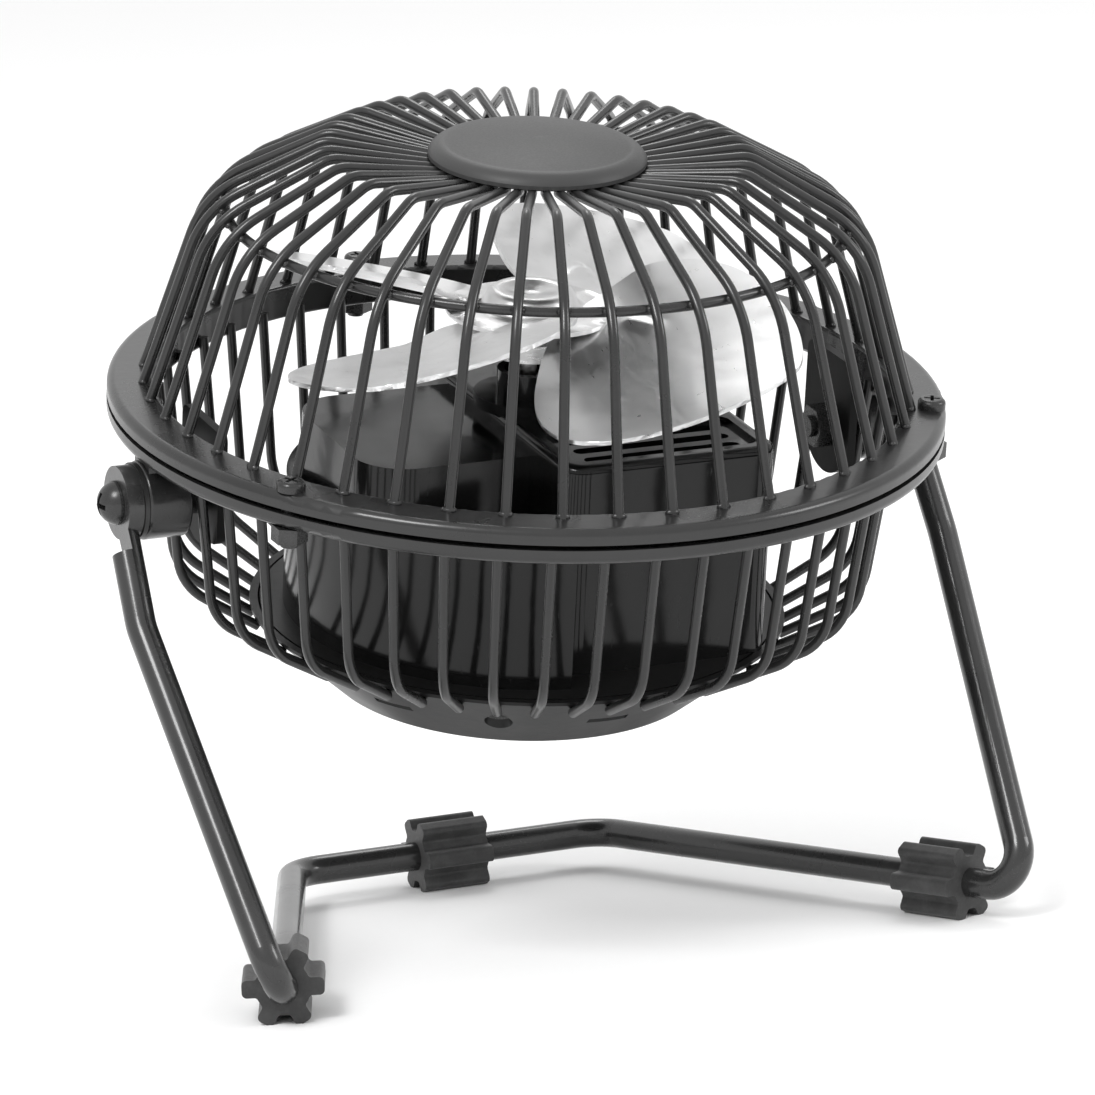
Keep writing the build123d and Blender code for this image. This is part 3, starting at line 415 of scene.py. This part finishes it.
def ringMiddle(name):
    # middle radius and height of a ring round the head's axis
    ring = nodes[name]
    points = [ring.matrix_world @ vertex.co - headCentre for vertex in ring.data.vertices]
    heights = [point.dot(headUp) for point in points]
    radii = [(point - headUp * point.dot(headUp)).length for point in points]
    return (min(radii) + max(radii)) / 2, (min(heights) + max(heights)) / 2


hoopRadius, hoopHeight = ringMiddle("front_guard_hoop")
weldRow("hoopWelds", hoopRadius + welds["hoopOut"], hoopHeight + welds["hoopUp"])
weldRow("rimWelds", welds["rimRadius"], welds["rimHeight"])
print("welds made")

# blade wheel: four thin petals, each with a pressed rib, round a stepped and ringed hub
wheel = {
    "petals": 4, "phase": radians(-54), "height": 17.0 * mm, "thickness": 0.8 * mm, "edge": 0.14 * mm,
    "root": 8.5 * mm, "tip": 53.8 * mm, "lowSide": 29.5 * mm, "highSide": 20.5 * mm,
    "pitchRoot": radians(25), "pitchTip": radians(16), "cup": 1.6 * mm,
    "ribNear": 17 * mm, "ribFar": 25.5 * mm, "ribHalf": 1.5 * mm, "ribRise": 0.55 * mm, "ribAside": 2.5 * mm,
    "ribEnd": 1.6 * mm, "ribSlope": 0.9 * mm, "lean": 0.82, "fullness": 0.62, "tipShare": 0.9999,
    "neck": 2.5 * mm, "flatTo": 11 * mm, "easeOver": 12 * mm, "hubPitch": 0.55, "cupShare": 0.6,
    "rows": 84, "columns": 72, "hubSides": 96, "joinGap": 0.005 * mm, "edgeAngle": radians(50),
    "hub": [
        (0, 2.7), (2.1, 2.7), (2.5, 3.1), (4.4, 3.1), (4.9, 3.6), (6.7, 3.6), (7.6, 3.1), (8.3, 1.2),
        (9.0, 0.5), (10.0, 0.3), (11.2, 0.45), (12.4, 0.15), (15.2, 0.0),
    ],  # radius and rise of each step, in millimetres
}


def soften(value):
    value = min(max(value, 0.0), 1.0)
    return value * value * (3 - 2 * value)


def petalPoint(row, column):
    # place on a flat petal, along it and across it, and how far the pressed sheet rises there
    length = wheel["tip"] - wheel["root"]
    share = (1 - cos(pi * row / wheel["rows"])) / 2
    along = wheel["root"] + length * share
    swell = sin(pi * min(share, wheel["tipShare"]) ** wheel["lean"]) ** wheel["fullness"]
    low = -(wheel["lowSide"] * swell + wheel["neck"] * (1 - share))
    high = wheel["highSide"] * swell + wheel["neck"] * (1 - share)
    aside = low + (high - low) * (1 - cos(pi * column / wheel["columns"])) / 2
    out = (along * along + aside * aside) ** 0.5
    pitch = wheel["pitchRoot"] + (wheel["pitchTip"] - wheel["pitchRoot"]) * (out - wheel["root"]) / length
    spread = soften((out - wheel["flatTo"]) / wheel["easeOver"])
    rise = aside * sin(pitch) / cos(pitch) * (wheel["hubPitch"] + (1 - wheel["hubPitch"]) * spread)
    bowed = 1 - (2 * (aside - low) / (high - low) - 1) ** 2
    rise -= wheel["cup"] * sin(pi * share) * bowed * wheel["cupShare"]
    ends = soften((along - wheel["ribNear"]) / wheel["ribEnd"])
    ends *= soften((wheel["ribFar"] - along) / wheel["ribEnd"])
    width = soften((wheel["ribHalf"] - abs(aside - wheel["ribAside"])) / wheel["ribSlope"])
    return along, aside, rise + wheel["ribRise"] * ends * width


def addPetal(mesh, turn):
    forward = headSide * cos(turn) + headBack * sin(turn)
    sideways = headBack * cos(turn) - headSide * sin(turn)
    grid = []
    for row in range(wheel["rows"] + 1):
        line = []
        for column in range(wheel["columns"] + 1):
            along, aside, rise = petalPoint(row, column)
            flat = headCentre + forward * along + sideways * aside
            line.append(mesh.verts.new(flat + headUp * (wheel["height"] + rise)))
        grid.append(line)
    for near, far in zip(grid, grid[1:]):
        for column in range(wheel["columns"]):
            mesh.faces.new((near[column], far[column], far[column + 1], near[column + 1]))


def addHub(mesh):
    count = wheel["hubSides"]
    rings = []
    for radius, rise in wheel["hub"][1:]:
        height = wheel["height"] + rise * mm
        spots = [atHead(radius * mm, 2 * pi * step / count, height) for step in range(count)]
        rings.append([mesh.verts.new(spot) for spot in spots])
    middle = mesh.verts.new(atHead(0, 0, wheel["height"] + wheel["hub"][0][1] * mm))
    for step in range(count):
        after = (step + 1) % count
        mesh.faces.new((middle, rings[0][step], rings[0][after]))
        for inner, outer in zip(rings, rings[1:]):
            mesh.faces.new((inner[step], outer[step], outer[after], inner[after]))


def makeWheel():
    mesh = bmesh.new()
    for petal in range(wheel["petals"]):
        addPetal(mesh, wheel["phase"] + 2 * pi / wheel["petals"] * petal)
    addHub(mesh)
    bmesh.ops.remove_doubles(mesh, verts=mesh.verts, dist=wheel["joinGap"])
    bmesh.ops.recalc_face_normals(mesh, faces=mesh.faces)
    data = bpy.data.meshes.new("bladeWheelSheet")
    mesh.to_mesh(data)
    mesh.free()
    for face in data.polygons:
        face.use_smooth = True
    piece = bpy.data.objects.new("bladeWheelSheet", data)
    bpy.context.scene.collection.objects.link(piece)
    data.materials.append(finishes["blade_metal"])
    solid = piece.modifiers.new("sheet", "SOLIDIFY")
    solid.thickness = wheel["thickness"]
    solid.offset = 0
    rounded = piece.modifiers.new("edge", "BEVEL")
    rounded.width = wheel["edge"]
    rounded.segments = 2
    rounded.limit_method = "ANGLE"
    rounded.angle_limit = wheel["edgeAngle"]
    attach(piece, "rotor")
    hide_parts("blade_wheel")


makeWheel()
print("blade wheel made")

# camera
camera = {
    "azimuth": radians(-23.52),
    "elevation": radians(7.91),
    "roll": radians(-2.886),
    "distance": 1.0763,
    "lens": 197.0,
    "sensor": 36,
    "shiftX": 0.02179,
    "shiftY": -0.08205,
    "farthest": 20,
}
back = Vector((
    sin(camera["azimuth"]) * cos(camera["elevation"]),
    -cos(camera["azimuth"]) * cos(camera["elevation"]),
    sin(camera["elevation"]),
))
flat = Vector((cos(camera["azimuth"]), sin(camera["azimuth"]), 0))
tall = back.cross(flat)
across = cos(camera["roll"]) * flat + sin(camera["roll"]) * tall
upward = cos(camera["roll"]) * tall - sin(camera["roll"]) * flat
view = Matrix((across, upward, back)).transposed().to_4x4()
view.translation = pivot + back * camera["distance"]
lensData = bpy.data.cameras.new("camera")
lensData.lens = camera["lens"]
lensData.sensor_width = camera["sensor"]
lensData.shift_x = camera["shiftX"]
lensData.shift_y = camera["shiftY"]
lensData.clip_end = camera["farthest"]
eye = bpy.data.objects.new("camera", lensData)
eye.matrix_world = view
bpy.context.scene.collection.objects.link(eye)
bpy.context.scene.camera = eye

# floor and light
stage = {"size": 8.0, "tone": 0.93, "toneSpread": 0.01, "rough": 0.9, "fibre": 0.002, "sky": 1.0}
lamps = {
    "key": {"at": (-1.0, -0.7, 1.3), "size": 0.55, "power": 16},
    "fill": {"at": (1.3, -0.8, 0.8), "size": 0.5, "power": 6},
    "rim": {"at": (0.5, 1.0, 1.6), "size": 0.6, "power": 5},
}
half = stage["size"] / 2
corners = [(-half, -half, 0), (half, -half, 0), (half, half, 0), (-half, half, 0)]
floorMesh = bpy.data.meshes.new("floor")
floorMesh.from_pydata(corners, [], [(0, 1, 2, 3)])
floor = bpy.data.objects.new("floor", floorMesh)
bpy.context.scene.collection.objects.link(floor)
paper = Shop("floorPaper")
fibre = paper.cloud(stage["fibre"], 4, 0.6, seed=1.0)
darker, paler = grey(stage["tone"] - stage["toneSpread"]), grey(stage["tone"] + stage["toneSpread"])
floorMesh.materials.append(paper.finish({
    "Base Color": paper.mix(fibre, darker, paler),
    "Roughness": stage["rough"],
}))
for name, lamp in lamps.items():
    data = bpy.data.lights.new(name, "AREA")
    data.size = lamp["size"]
    data.energy = lamp["power"]
    light = bpy.data.objects.new(name, data)
    light.location = lamp["at"]
    light.rotation_euler = (headCentre - light.location).to_track_quat("-Z", "Y").to_euler()
    bpy.context.scene.collection.objects.link(light)
world = bpy.data.worlds.new("studio")
world.use_nodes = True
world.node_tree.nodes["Background"].inputs["Color"].default_value = (1, 1, 1, 1)
world.node_tree.nodes["Background"].inputs["Strength"].default_value = stage["sky"]
bpy.context.scene.world = world
bpy.context.scene.view_settings.view_transform = "Standard"
print("camera and light placed")
